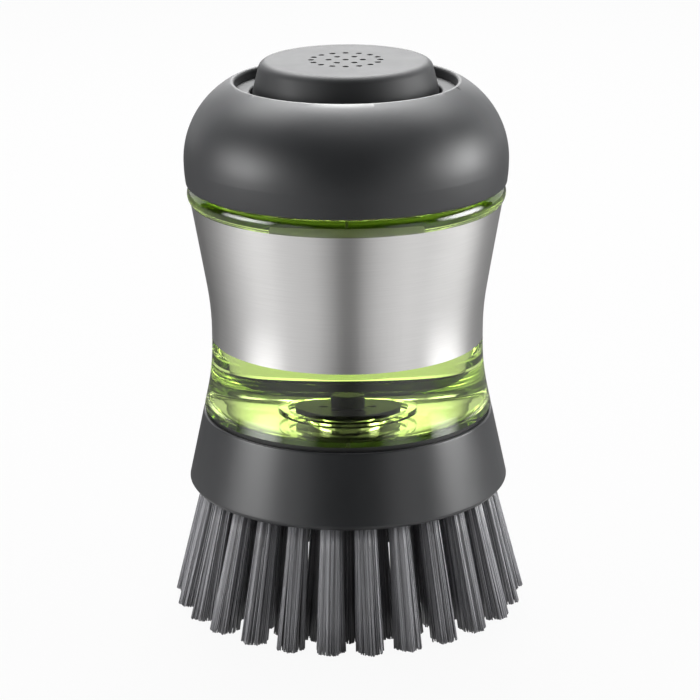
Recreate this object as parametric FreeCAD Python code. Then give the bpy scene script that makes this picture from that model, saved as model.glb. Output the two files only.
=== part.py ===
import FreeCAD, Part
import math
import os

# Palm dish brush with a soap tank. Lengths are millimetres and angles are degrees.
# The brush stands on its bristle tips: the tips are at height zero and the axis is +Z.
# Pressing the button pumps air into the tank, and the air pushes soap out through the floor valve.

V = FreeCAD.Vector
AXIS = V(0, 0, 1)

# Clearances
running_gap = 0.3
seat_gap = 0.1
seal_gap = 0.05
overrun = 1.0
weld_depth = 0.5
rounding_room_share = 0.95
same_place = 0.0001

# Bristles
bristle_height = 23.7
tuft_root_radius = 2.1
tuft_tip_radius = 2.8
tuft_hole_depth = 3.4
tuft_rib_count = 8
tuft_rib_depth_share = 0.18
outer_ring_count = 26
outer_ring_margin = 2.2
outer_ring_tilt = 13.3
middle_ring_count = 26
middle_ring_step = 4.9
middle_ring_tilt = 10.0
inner_ring_count = 14
inner_ring_step = 6.0
inner_ring_tilt = 6.5
anchor_thickness = 0.35
anchor_height = 1.5

# Body outline, shared by the brush block, the tank and the sleeve
lower_flare_angle = 12.3
upper_flare_angle = 9.6
lower_waist_rounding = 46.4
upper_waist_rounding = 53.6
lower_corner_rise = 7.5
upper_corner_rise = 19.5

# Brush block: collar and tuft plate in one moulding
plate_thickness = 4.4
collar_foot_rise = 0.7
collar_rim_inset = 0.5
collar_foot_rounding = 0.4
collar_rim_rounding = 0.2
collar_top_rounding = 0.4
collar_bore_inset = 1.03
outlet_hole_radius = 4.5
head_seal_thickness = 0.9
head_seal_inset = 0.6

# Soap tank
lower_window_height = 13.6
upper_window_height = 3.1
upper_window_swell = 0.35
tank_bore_radius = 22.6
tank_wall = 2.68
tank_floor_rounding = 3.0
tank_floor_drop = 2.1
tank_floor_thickness = 3.0
base_ring_depth = 8.6
base_ring_wall = 2.6
tank_neck_wall = 3.4
tank_neck_height = 3.3
valve_ring_height = 1.4
valve_ring_wall = 1.3

# Steel sleeve
sleeve_height = 26.7
sleeve_thickness = 0.6
sleeve_seam = 0.4

# Floor valve
valve_disc_radius = 7.4
valve_disc_thickness = 2.0
valve_boss_radius = 2.4
valve_boss_height = 2.9
valve_boss_rounding = 0.5
valve_ring_gap = 1.1
valve_tube_radius = 5.6
valve_tube_wall = 1.2
valve_tube_reach = 2.6
valve_port_radius = 0.7
valve_port_margin = 0.3
valve_port_count = 6
slit_valve_thickness = 0.8
slit_valve_bulge = 1.6
slit_width = 0.2
retainer_wall = 1.3
retainer_floor = 1.0
valve_room = 1.2

# Cap core
cap_gasket_thickness = 1.1
deck_thickness = 2.5
deck_chamfer = 1.0
cap_skirt_wall = 2.0
guide_wall = 1.6

# Grip dome
dome_wall = 2.15
dome_equator_rise = 4.5
dome_bulge = 16.5
dome_foot_bulge = 30.0
dome_foot_rounding = 0.5
dome_lip_overlap = 0.7
dome_lip_rounding = 0.55

# Bezel and push button
bezel_sink = 2.3
bezel_height = 4.0
bezel_gap = 0.5
bezel_rounding = 0.4
button_proud = 3.444
button_top_rounding = 1.7
button_taper = 1.4
button_wall = 1.9
button_top_thickness = 2.2
button_flange_width = 2.2
button_flange_thickness = 1.5
socket_wall = 1.6
socket_length = 5.8
vent_radius = 0.6
vent_margin = 0.25
vent_socket_gap = 0.2
vent_ring_counts = (6, 16)

# Air pump
plunger_stem_radius = 4.0
barrel_bore_radius = 9.0
barrel_wall = 1.5
barrel_drop = 8.5
barrel_floor = 2.0
barrel_flange_width = 2.6
barrel_flange_thickness = 1.2
barrel_collar_height = 2.1
piston_clearance = 0.5
piston_height = 4.0
piston_land = 1.0
piston_groove_depth = 1.7
piston_end_gap = 0.6
pocket_radius = 3.8
pocket_depth = 2.6
seal_lip = 0.4
o_ring_wire_radius = 0.75

# Check valve, a silicone umbrella under the barrel floor
check_valve_stem_radius = 1.5
check_valve_disc_radius = 6.0
check_valve_disc_thickness = 1.25
check_valve_bulb_radius = 2.4
check_valve_bulb_height = 2.0
check_valve_bulb_rounding = 0.6
check_port_radius = 0.8
check_port_circle = 3.9
check_port_count = 4

# Return spring
spring_collar_gap = 1.15
spring_button_gap = 1.35
spring_wire_radius = 0.55
spring_turns = 4.5

# Twist locks: short helical lugs in helical grooves
lug_count = 3
cap_lug_height = 1.2
cap_lug_depth = 0.9
base_lug_height = 2.0
base_lug_depth = 0.9
lug_span = 22.0
lug_inset = 0.4
cap_turn = 75.0
head_turn = 60.0
groove_end_angle = 1.0
groove_step = 8.0

# Radii that pieces share, from the pump outward and from the tank's bore outward
barrel_outer_radius = barrel_bore_radius + barrel_wall
barrel_hole_radius = barrel_outer_radius + seat_gap
o_ring_radius = barrel_hole_radius + seat_gap + o_ring_wire_radius
o_ring_seat_radius = o_ring_radius + o_ring_wire_radius + seat_gap
spring_radius = barrel_outer_radius + spring_collar_gap + spring_wire_radius
socket_radius = plunger_stem_radius + seal_gap
socket_outer_radius = socket_radius + socket_wall
button_top_radius = spring_radius + spring_wire_radius + spring_button_gap + button_wall
button_skirt_radius = button_top_radius + button_taper
flange_radius = button_skirt_radius + button_flange_width
guide_inner_radius = flange_radius + running_gap
guide_outer_radius = guide_inner_radius + guide_wall
bezel_inner_radius = button_skirt_radius + bezel_gap
dome_lip_radius = guide_outer_radius - dome_lip_overlap
tank_neck_radius = tank_bore_radius + tank_neck_wall
cap_skirt_radius = tank_neck_radius + running_gap
deck_radius = cap_skirt_radius + cap_skirt_wall
dome_bore_radius = deck_radius + seat_gap
dome_equator_radius = dome_bore_radius + dome_wall
bulge_centre_radius = dome_equator_radius - dome_bulge
waist_radius = tank_bore_radius + tank_wall + seal_gap + sleeve_thickness
collar_bore_radius = waist_radius - collar_bore_inset
base_ring_radius = collar_bore_radius - running_gap
base_groove_radius = base_ring_radius + base_lug_depth + running_gap
valve_hole_radius = valve_tube_radius + seal_gap
valve_bore_radius = valve_tube_radius - valve_tube_wall
tuft_hole_radius = tuft_root_radius + seal_gap

# Heights, stacked from the bristle tips upward
plate_top_z = bristle_height + plate_thickness
collar_foot_z = bristle_height + collar_foot_rise
retainer_bottom_z = plate_top_z + valve_room
retainer_ledge_z = retainer_bottom_z + retainer_floor
valve_tube_end_z = retainer_ledge_z + slit_valve_thickness + 2 * seal_gap
floor_bottom_z = valve_tube_end_z + valve_tube_reach
floor_top_z = floor_bottom_z + tank_floor_thickness
shoulder_z = floor_top_z + tank_floor_drop
base_ring_bottom_z = shoulder_z - base_ring_depth
collar_top_z = shoulder_z - seat_gap - head_seal_thickness
head_seal_bottom_z = collar_top_z
lower_corner_z = shoulder_z + lower_corner_rise
upper_corner_z = shoulder_z + upper_corner_rise
sleeve_bottom_z = shoulder_z + lower_window_height
sleeve_top_z = sleeve_bottom_z + sleeve_height
tank_top_z = sleeve_top_z + upper_window_height
window_middle_z = (sleeve_top_z + tank_top_z) / 2
rim_top_z = tank_top_z + tank_neck_height
valve_disc_bottom_z = floor_top_z + seal_gap
valve_disc_top_z = valve_disc_bottom_z + valve_disc_thickness
dome_bottom_z = tank_top_z + running_gap
cap_gasket_bottom_z = rim_top_z + seat_gap
deck_bottom_z = cap_gasket_bottom_z + cap_gasket_thickness
deck_top_z = deck_bottom_z + deck_thickness
cap_skirt_bottom_z = dome_bottom_z + running_gap
equator_z = dome_bottom_z + dome_equator_rise
lip_z = equator_z + math.sqrt(dome_bulge**2 - (dome_lip_radius - bulge_centre_radius) ** 2)
bezel_top_z = lip_z - bezel_sink
bezel_bottom_z = bezel_top_z - bezel_height
button_top_z = lip_z + button_proud
button_under_z = button_top_z - button_top_thickness
flange_top_z = bezel_bottom_z - running_gap
flange_bottom_z = flange_top_z - button_flange_thickness
button_stroke = flange_bottom_z - deck_top_z - running_gap
barrel_floor_top_z = deck_bottom_z - barrel_drop
barrel_bottom_z = barrel_floor_top_z - barrel_floor
barrel_flange_bottom_z = deck_top_z + seal_gap
barrel_flange_top_z = barrel_flange_bottom_z + barrel_flange_thickness
barrel_top_z = barrel_flange_top_z + barrel_collar_height
piston_bottom_z = barrel_floor_top_z + button_stroke + piston_end_gap
piston_top_z = piston_bottom_z + piston_height

# Twist-lock travel: a lug leaves its groove when it has passed the open end
cap_lug_top_z = rim_top_z - lug_inset
cap_travel = cap_lug_top_z - cap_skirt_bottom_z + running_gap
cap_lead = cap_travel * 360 / cap_turn
cap_lug_z = cap_lug_top_z - cap_lug_height - cap_lead * lug_span / 360
base_lug_z = base_ring_bottom_z + lug_inset
head_travel = collar_top_z - base_lug_z + running_gap
head_lead = head_travel * 360 / head_turn


class Via:
    """A point that the stretch between two corners passes through as an arc."""

    def __init__(self, radius, height):
        self.point = V(radius, 0, height)


def rounded_corner(before, corner, after, rounding):
    """The start, middle and end of the arc that rounds a corner between two straight stretches."""
    back = (before - corner).normalize()
    ahead = (after - corner).normalize()
    half_angle = back.getAngle(ahead) / 2
    room = min(before.distanceToPoint(corner), after.distanceToPoint(corner)) * rounding_room_share
    reach = min(rounding / math.tan(half_angle), room)
    rounding = reach * math.tan(half_angle)
    inward = (back + ahead).normalize()
    middle = corner + inward * (rounding / math.sin(half_angle) - rounding)
    return corner + back * reach, middle, corner + ahead * reach


def outline(*items):
    """A closed face in the XZ plane. An item is (radius, height), with or without a rounding, or a Via."""
    corners = [V(i[0], 0, i[1]) if isinstance(i, tuple) else i.point for i in items]
    edges = []
    pen = None
    closing = None
    arc_via = None
    count = len(items)
    for k in range(count + 1):
        item = items[k % count]
        point = corners[k % count]
        if isinstance(item, Via):
            arc_via = point
            continue
        arrive, leave, middle = point, point, None
        if len(item) == 3:
            arrive, middle, leave = rounded_corner(
                corners[k - 1], point, corners[(k + 1) % count], item[2]
            )
        target = closing if k == count else arrive
        if pen is not None:
            if arc_via is not None:
                edges.append(Part.Arc(pen, arc_via, target).toShape())
            elif pen.distanceToPoint(target) > 0:
                edges.append(Part.LineSegment(pen, target).toShape())
        else:
            closing = arrive
        arc_via = None
        if middle is not None and k < count:
            edges.append(Part.Arc(arrive, middle, leave).toShape())
        pen = leave
    return Part.Face(Part.Wire(edges))


def turned(*items):
    """The outline turned round the axis into a solid."""
    return outline(*items).revolve(V(0, 0, 0), AXIS, 360)


def ring_edge(solid, radius, height):
    """The circular edges of a turned solid at one radius and height."""
    found = []
    for edge in solid.Edges:
        start = edge.Vertexes[0].Point
        flat = edge.BoundBox.ZLength < same_place
        miss = max(abs(start.z - height), abs(math.hypot(start.x, start.y) - radius))
        if flat and miss < same_place:
            found.append(edge)
    return found


def rod(radius, low_z, high_z, x=0, y=0):
    return Part.makeCylinder(radius, high_z - low_z, V(x, y, low_z))


def on_circle(count, radius):
    """Points spaced evenly on a circle about the axis."""
    angles = [math.radians(360 * k / count) for k in range(count)]
    return [(radius * math.cos(a), radius * math.sin(a)) for a in angles]


def turned_copy(shape, angle):
    copy = shape.copy()
    copy.rotate(V(0, 0, 0), AXIS, angle)
    return copy


def helical_band(inner, outer, low_z, height, start, span, lead):
    """A band of rectangular section that climbs a right-handed helix from one angle through a span."""
    steps = max(2, math.ceil(abs(span) / groove_step))
    sections = []
    for k in range(steps + 1):
        turn = span * k / steps
        z = low_z + lead * turn / 360
        corners = [V(inner, 0, z), V(outer, 0, z), V(outer, 0, z + height), V(inner, 0, z + height)]
        section = Part.makePolygon(corners + corners[:1])
        section.rotate(V(0, 0, 0), AXIS, start + turn)
        sections.append(section)
    return Part.makeLoft(sections, True, True)


def lock_lugs(inner, outer, low_z, height, lead):
    """The lugs of one twist lock."""
    lug = helical_band(inner, outer, low_z, height, -lug_span / 2, lug_span, lead)
    return [turned_copy(lug, 360 * k / lug_count) for k in range(lug_count)]


def lock_grooves(inner, outer, low_z, height, lead, sweep):
    """The grooves that the lugs run in: blind at the locked end, and as long as the sweep at the other."""
    height += 2 * running_gap
    first = -lug_span / 2 - groove_end_angle
    length = lug_span + 2 * groove_end_angle + abs(sweep)
    if sweep < 0:
        first += sweep
    base_z = low_z - running_gap + lead * (first + lug_span / 2) / 360
    groove = helical_band(inner, outer, base_z, height, first, length, lead)
    return [turned_copy(groove, 360 * k / lug_count) for k in range(lug_count)]


def flare_radius(z):
    """Outside radius of the body where it is conical, below or above the waist."""
    if z < lower_corner_z:
        return waist_radius + (lower_corner_z - z) * math.tan(math.radians(lower_flare_angle))
    return waist_radius + max(0, z - upper_corner_z) * math.tan(math.radians(upper_flare_angle))


def sleeve_side(inset):
    """Outline items up the side of the body behind or before the steel, moved inward by an inset."""
    return [
        (waist_radius - inset, sleeve_bottom_z),
        (waist_radius - inset, upper_corner_z, upper_waist_rounding),
        (flare_radius(sleeve_top_z) - inset, sleeve_top_z),
    ]


def make_soap_tank():
    """The clear waisted tank: straight bore, wide mouth, recess for the sleeve, ring round the valve."""
    valve_ring_inner = valve_disc_radius + valve_ring_gap
    valve_ring_outer = valve_ring_inner + valve_ring_wall
    tank = turned(
        (valve_hole_radius, floor_top_z),
        (valve_hole_radius, floor_bottom_z),
        (base_ring_radius - base_ring_wall, floor_bottom_z),
        (base_ring_radius - base_ring_wall, base_ring_bottom_z),
        (base_ring_radius, base_ring_bottom_z),
        (base_ring_radius, shoulder_z),
        (flare_radius(shoulder_z), shoulder_z),
        (waist_radius, lower_corner_z, lower_waist_rounding),
        (waist_radius, sleeve_bottom_z),
        *sleeve_side(sleeve_thickness + seal_gap),
        (flare_radius(sleeve_top_z), sleeve_top_z),
        Via(flare_radius(window_middle_z) + upper_window_swell, window_middle_z),
        (flare_radius(sleeve_top_z), tank_top_z),
        (tank_neck_radius, tank_top_z),
        (tank_neck_radius, rim_top_z),
        (tank_bore_radius, rim_top_z),
        (tank_bore_radius, floor_top_z, tank_floor_rounding),
        (valve_ring_outer, floor_top_z),
        (valve_ring_outer, floor_top_z + valve_ring_height),
        (valve_ring_inner, floor_top_z + valve_ring_height),
        (valve_ring_inner, floor_top_z),
    )
    neck_inner = tank_neck_radius - weld_depth
    base_inner = base_ring_radius - weld_depth
    lugs = lock_lugs(neck_inner, tank_neck_radius + cap_lug_depth, cap_lug_z, cap_lug_height, cap_lead)
    lugs += lock_lugs(base_inner, base_ring_radius + base_lug_depth, base_lug_z, base_lug_height, head_lead)
    return tank.fuse(lugs)


def make_steel_sleeve():
    """The sheet-steel band round the waist, rolled from a strip, with its butt seam at the back."""
    sleeve = turned(*sleeve_side(0), *reversed(sleeve_side(sleeve_thickness)))
    reach = flare_radius(sleeve_top_z) + overrun
    seam = Part.makeBox(
        sleeve_seam,
        reach,
        sleeve_height + 2 * overrun,
        V(-sleeve_seam / 2, 0, sleeve_bottom_z - overrun),
    )
    return sleeve.cut(seam)


def make_valve_body():
    """The valve body in the tank floor: disc with a boss, ports round the boss, tube through the floor."""
    body = turned(
        (0, valve_disc_top_z + valve_boss_height),
        (valve_boss_radius, valve_disc_top_z + valve_boss_height, valve_boss_rounding),
        (valve_boss_radius, valve_disc_top_z),
        (valve_disc_radius, valve_disc_top_z),
        (valve_disc_radius, valve_disc_bottom_z),
        (valve_tube_radius, valve_disc_bottom_z),
        (valve_tube_radius, valve_tube_end_z),
        (valve_bore_radius, valve_tube_end_z),
        (valve_bore_radius, valve_disc_bottom_z),
        (0, valve_disc_bottom_z),
    )
    ports = [
        rod(valve_port_radius, valve_disc_bottom_z - overrun, valve_disc_top_z + overrun, x, y)
        for x, y in on_circle(valve_port_count, valve_bore_radius - valve_port_margin - valve_port_radius)
    ]
    return body.cut(ports)


def make_slit_valve():
    """The silicone slit valve: a flange under the valve tube and a bulged, cross-cut middle."""
    flange_top = valve_tube_end_z - seal_gap
    flange_bottom = flange_top - slit_valve_thickness
    dip = flange_bottom - slit_valve_bulge
    mouth = valve_bore_radius - seat_gap
    valve = turned(
        (0, dip + slit_valve_thickness),
        (mouth - slit_valve_thickness, dip + slit_valve_thickness),
        (mouth, flange_top),
        (valve_tube_radius, flange_top),
        (valve_tube_radius, flange_bottom),
        (mouth, flange_bottom),
        (mouth - slit_valve_thickness, dip),
        (0, dip),
    )
    length = mouth
    low = dip - overrun
    tall = slit_valve_thickness + 2 * overrun
    slits = [
        Part.makeBox(length, slit_width, tall, V(-length / 2, -slit_width / 2, low)),
        Part.makeBox(slit_width, length, tall, V(-slit_width / 2, -length / 2, low)),
    ]
    return valve.cut(slits)


def make_valve_retainer():
    """The ring pushed onto the valve tube from below, which clamps the slit valve's flange."""
    inner = valve_tube_radius + seal_gap
    mouth = valve_bore_radius + seat_gap
    return turned(
        (inner, floor_bottom_z - seal_gap),
        (inner, retainer_ledge_z),
        (mouth, retainer_ledge_z),
        (mouth, retainer_bottom_z),
        (inner + retainer_wall, retainer_bottom_z),
        (inner + retainer_wall, floor_bottom_z - seal_gap),
    )


def make_cap_gasket():
    """The flat seal between the tank rim and the cap."""
    return turned(
        (tank_bore_radius + seat_gap, cap_gasket_bottom_z),
        (tank_neck_radius, cap_gasket_bottom_z),
        (tank_neck_radius, deck_bottom_z),
        (tank_bore_radius + seat_gap, deck_bottom_z),
    )


def make_cap_core():
    """The rigid cap: deck, grooved skirt round the tank's neck, and guide wall for the button."""
    o_ring_floor_z = deck_top_z - 2 * o_ring_wire_radius
    core = turned(
        (barrel_hole_radius, deck_bottom_z),
        (cap_skirt_radius, deck_bottom_z),
        (cap_skirt_radius, cap_skirt_bottom_z),
        (deck_radius, cap_skirt_bottom_z),
        (deck_radius, deck_top_z - deck_chamfer),
        (deck_radius - deck_chamfer, deck_top_z),
        (guide_outer_radius, deck_top_z),
        (guide_outer_radius, bezel_bottom_z),
        (guide_inner_radius, bezel_bottom_z),
        (guide_inner_radius, deck_top_z),
        (o_ring_seat_radius, deck_top_z),
        (o_ring_seat_radius, o_ring_floor_z),
        (barrel_hole_radius, o_ring_floor_z),
    )
    groove_floor = tank_neck_radius + cap_lug_depth + running_gap
    groove_start = cap_skirt_radius - overrun
    return core.cut(
        lock_grooves(groove_start, groove_floor, cap_lug_z, cap_lug_height, cap_lead, -cap_turn)
    )


def bulge_point(bulge, angle):
    """Radius and height of a point on the dome's round side, at an angle above its equator."""
    return dome_equator_radius - bulge * (1 - math.cos(angle)), equator_z + bulge * math.sin(angle)


def make_grip_dome():
    """The soft dome that the palm holds, moulded over the cap core, open at the top for the button."""
    foot_angle = -math.asin(dome_equator_rise / dome_foot_bulge)
    lip_angle = math.acos((dome_lip_radius - bulge_centre_radius) / dome_bulge)
    foot_radius, foot_z = bulge_point(dome_foot_bulge, foot_angle)
    dome = turned(
        (dome_bore_radius, dome_bottom_z),
        (foot_radius, foot_z),
        Via(*bulge_point(dome_foot_bulge, foot_angle / 2)),
        (dome_equator_radius, equator_z),
        Via(*bulge_point(dome_bulge, lip_angle / 2)),
        (dome_lip_radius, lip_z),
        (dome_lip_radius, bezel_top_z + seat_gap),
        (guide_outer_radius + seat_gap, bezel_top_z + seat_gap),
        (guide_outer_radius + seat_gap, bezel_bottom_z),
        (dome_bore_radius, deck_top_z + seat_gap),
    )
    dome = dome.makeFillet(dome_lip_rounding, ring_edge(dome, dome_lip_radius, lip_z))
    return dome.makeFillet(dome_foot_rounding, ring_edge(dome, foot_radius, foot_z))


def make_button_bezel():
    """The ring in the dome's opening that keeps the button from springing out."""
    return turned(
        (bezel_inner_radius, bezel_bottom_z),
        (guide_outer_radius, bezel_bottom_z),
        (guide_outer_radius, bezel_top_z),
        (bezel_inner_radius, bezel_top_z, bezel_rounding),
    )


def make_push_button():
    """The button: a cup with a conical side, a stop flange, a plunger socket and a rose of vents."""
    skirt_inner_radius = button_skirt_radius - button_wall
    socket_end_z = button_under_z - socket_length
    button = turned(
        (0, button_top_z),
        (button_top_radius, button_top_z, button_top_rounding),
        (button_skirt_radius, bezel_top_z),
        (button_skirt_radius, flange_top_z),
        (flange_radius, flange_top_z),
        (flange_radius, flange_bottom_z),
        (skirt_inner_radius, flange_bottom_z),
        (skirt_inner_radius, bezel_top_z),
        (button_top_radius - button_wall, button_under_z),
        (socket_outer_radius, button_under_z),
        (socket_outer_radius, socket_end_z),
        (socket_radius, socket_end_z),
        (socket_radius, button_under_z),
        (0, button_under_z),
    )
    inner_vents = socket_radius - vent_margin - vent_radius
    outer_vents = socket_outer_radius + vent_socket_gap + vent_radius
    spots = [(0, 0)]
    for radius, count in zip((inner_vents, outer_vents), vent_ring_counts):
        spots += on_circle(count, radius)
    vents = [rod(vent_radius, button_under_z - overrun, button_top_z + overrun, x, y) for x, y in spots]
    return button.cut(vents)


def make_plunger():
    """The rod under the button with the piston, grooved for its seal and hollow over the check valve."""
    piston_radius = barrel_bore_radius - piston_clearance
    groove_radius = piston_radius - piston_groove_depth
    return turned(
        (0, button_under_z - seat_gap),
        (plunger_stem_radius, button_under_z - seat_gap),
        (plunger_stem_radius, piston_top_z),
        (piston_radius, piston_top_z),
        (piston_radius, piston_top_z - piston_land),
        (groove_radius, piston_top_z - piston_land),
        (groove_radius, piston_bottom_z + piston_land),
        (piston_radius, piston_bottom_z + piston_land),
        (piston_radius, piston_bottom_z),
        (pocket_radius, piston_bottom_z),
        (pocket_radius, piston_bottom_z + pocket_depth),
        (0, piston_bottom_z + pocket_depth),
    )


def make_piston_seal():
    """The cup seal: its lips face down, so it seals the press stroke and lets air past on the way up."""
    groove_radius = barrel_bore_radius - piston_clearance - piston_groove_depth
    inner = groove_radius + seal_gap
    outer = barrel_bore_radius - seal_gap
    low_z = piston_bottom_z + piston_land + seal_gap
    high_z = piston_top_z - piston_land - seal_gap
    return turned(
        (inner, low_z),
        (inner + seal_lip, low_z),
        ((inner + outer) / 2, (low_z + high_z) / 2),
        (outer - seal_lip, low_z),
        (outer, low_z),
        (outer, high_z),
        (inner, high_z),
    )


def make_pump_barrel():
    """The pump cylinder, hung through the deck on its flange, with ports round the check valve."""
    barrel = turned(
        (check_valve_stem_radius + seal_gap, barrel_bottom_z),
        (barrel_outer_radius, barrel_bottom_z),
        (barrel_outer_radius, barrel_flange_bottom_z),
        (barrel_outer_radius + barrel_flange_width, barrel_flange_bottom_z),
        (barrel_outer_radius + barrel_flange_width, barrel_flange_top_z),
        (barrel_outer_radius, barrel_flange_top_z),
        (barrel_outer_radius, barrel_top_z),
        (barrel_bore_radius, barrel_top_z),
        (barrel_bore_radius, barrel_floor_top_z),
        (check_valve_stem_radius + seal_gap, barrel_floor_top_z),
    )
    ports = [
        rod(check_port_radius, barrel_bottom_z - overrun, barrel_floor_top_z + overrun, x, y)
        for x, y in on_circle(check_port_count, check_port_circle)
    ]
    return barrel.cut(ports)


def make_barrel_o_ring():
    return Part.makeTorus(o_ring_radius, o_ring_wire_radius, V(0, 0, deck_top_z - o_ring_wire_radius))


def make_check_valve():
    """The one-way valve: a thin disc under the barrel floor, held by a stem with a bulb on top."""
    disc_z = barrel_bottom_z - seal_gap
    bulb_z = barrel_floor_top_z + seal_gap
    return turned(
        (0, disc_z - check_valve_disc_thickness),
        (check_valve_stem_radius, disc_z - check_valve_disc_thickness),
        (check_valve_disc_radius, disc_z - check_valve_disc_thickness / 2),
        (check_valve_disc_radius, disc_z),
        (check_valve_stem_radius, disc_z),
        (check_valve_stem_radius, bulb_z),
        (check_valve_bulb_radius, bulb_z),
        (check_valve_bulb_radius, bulb_z + check_valve_bulb_height, check_valve_bulb_rounding),
        (0, bulb_z + check_valve_bulb_height),
    )


def biarc(start, start_way, end, end_way):
    """Two tangent arcs from one point and direction to another."""
    chord = end - start
    ways = start_way + end_way
    spread = 2 * (1 - start_way.dot(end_way))
    along = chord.dot(ways)
    reach = (math.sqrt(along**2 + spread * chord.dot(chord)) - along) / spread
    first_knee = start + start_way * reach
    second_knee = end - end_way * reach
    joint = (first_knee + second_knee) / 2
    arcs = []
    for a, knee, b in ((start, first_knee, joint), (joint, second_knee, end)):
        foot = (a + b) / 2
        cosine = (a - foot).Length / (a - knee).Length
        arcs.append(Part.Arc(a, foot + (knee - foot) * (cosine / (1 + cosine)), b).toShape())
    return arcs


def make_return_spring():
    """The compression spring between the barrel flange and the button, one wire on quarter-turn biarcs."""
    low_z = barrel_flange_top_z + spring_wire_radius + seal_gap
    high_z = button_under_z - spring_wire_radius - seal_gap
    climb = (high_z - low_z) / spring_turns
    quarters = round(4 * spring_turns)
    knots = []
    for k in range(quarters + 1):
        a = math.pi * k / 2
        point = V(spring_radius * math.cos(a), spring_radius * math.sin(a), low_z + climb * k / 4)
        way = V(-math.sin(a), math.cos(a), climb / (2 * math.pi * spring_radius)).normalize()
        knots.append((point, way))
    edges = []
    for (a, a_way), (b, b_way) in zip(knots, knots[1:]):
        edges += biarc(a, a_way, b, b_way)
    path = Part.Wire(edges)
    profile = Part.Wire(Part.makeCircle(spring_wire_radius, knots[0][0], knots[0][1]))
    sweep = Part.BRepOffsetAPI.MakePipeShell(path)
    sweep.add(profile)
    sweep.build()
    sweep.makeSolid()
    spring = sweep.shape()
    report_spring(edges, path.Length, spring.Volume)
    return spring


def report_spring(edges, length, volume):
    """Prints the least gap between turns and the volume against section times length."""
    per_edge = 8
    points = []
    for edge in edges:
        first, last = edge.ParameterRange
        points += [edge.valueAt(first + (last - first) * k / per_edge) for k in range(per_edge)]
    half_turn = 2 * 2 * per_edge
    least = min(
        (points[i] - points[j]).Length
        for i in range(len(points))
        for j in range(i + half_turn, len(points))
    )
    section = math.pi * spring_wire_radius**2
    print("spring: least gap %.2f" % (least - 2 * spring_wire_radius))
    print("spring: volume over section times length %.4f" % (volume / (section * length)))


def make_head_seal():
    """The thin seal between the tank's shoulder and the brush block, wide enough to pass the lugs."""
    return turned(
        (base_groove_radius, head_seal_bottom_z),
        (flare_radius(shoulder_z) - head_seal_inset, head_seal_bottom_z),
        (flare_radius(shoulder_z) - head_seal_inset, head_seal_bottom_z + head_seal_thickness),
        (base_groove_radius, head_seal_bottom_z + head_seal_thickness),
    )


def ring_places(count, radius, tilt, phase):
    """One placement for each tuft of a ring: local +Z runs up the tuft's axis from the plate's underside."""
    lean = FreeCAD.Placement(V(radius, 0, bristle_height), FreeCAD.Rotation(V(0, 1, 0), -tilt))
    return [
        FreeCAD.Placement(V(0, 0, 0), FreeCAD.Rotation(AXIS, phase + 360 * k / count)).multiply(lean)
        for k in range(count)
    ]


def placed(shape, place):
    copy = shape.copy()
    copy.Placement = place
    return copy


def anchor_blank(gap):
    """The flat metal staple that pins a tuft in its hole, larger by a gap on each side."""
    width = 2 * tuft_root_radius + 2 * gap
    thickness = anchor_thickness + 2 * gap
    return Part.makeBox(
        thickness,
        width,
        anchor_height + gap,
        V(-thickness / 2, -width / 2, tuft_hole_depth - anchor_height - gap),
    )


def ribbed_outline(radius, z):
    """The closed outline of a bundle at a height: one rib for each strand of bristles that lies together."""
    reaches = [radius, radius * (1 - tuft_rib_depth_share)] * tuft_rib_count
    turn = math.pi / tuft_rib_count
    corners = [V(r * math.cos(k * turn), r * math.sin(k * turn), z) for k, r in enumerate(reaches)]
    return Part.makePolygon(corners + corners[:1])


def tuft_blank(tilt, tip_radius):
    """A bundle of bristles: a round root that the staple splits, and ribs that splay to the tips."""
    length = bristle_height / math.cos(math.radians(tilt)) + tip_radius
    spread = (tip_radius - tuft_root_radius) * math.cos(math.radians(tilt)) / bristle_height
    tip = ribbed_outline(tuft_root_radius + spread * length, -length)
    bundle = Part.makeLoft([ribbed_outline(tuft_root_radius, 0), tip], True, True)
    root = rod(tuft_root_radius, 0, tuft_hole_depth - seal_gap)
    return root.fuse(bundle).cut(anchor_blank(seal_gap))


def make_tufts(count, radius, tilt, phase):
    """The tufts of one ring, trimmed flat at height zero. They splay as far as their neighbours let them."""
    tip_ring = radius + bristle_height * math.tan(math.radians(tilt))
    room = tip_ring * math.sin(math.pi / count) - running_gap / 2
    places = ring_places(count, radius, tilt, 0)
    tuft = placed(tuft_blank(tilt, min(tuft_tip_radius, room)), places[0])
    box = tuft.BoundBox
    floor_z = box.ZMin - overrun
    trimmed = tuft.cut(Part.makeBox(box.XLength, box.YLength, -floor_z, V(box.XMin, box.YMin, floor_z)))
    return [turned_copy(trimmed, phase + 360 * k / count) for k in range(count)]


def tuft_rings():
    """Count, radius, tilt and phase of each ring. A middle tuft stands behind each gap of the outer ring."""
    outer = flare_radius(collar_foot_z) - collar_rim_inset - outer_ring_margin - tuft_root_radius
    middle = outer - middle_ring_step
    inner = middle - inner_ring_step
    return {
        "outer_tufts": (outer_ring_count, outer, outer_ring_tilt, 0),
        "middle_tufts": (middle_ring_count, middle, middle_ring_tilt, 180 / middle_ring_count),
        "inner_tufts": (inner_ring_count, inner, inner_ring_tilt, 0),
    }


def make_tuft_anchors():
    anchor = anchor_blank(0)
    return [placed(anchor, p) for ring in tuft_rings().values() for p in ring_places(*ring)]


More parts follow.
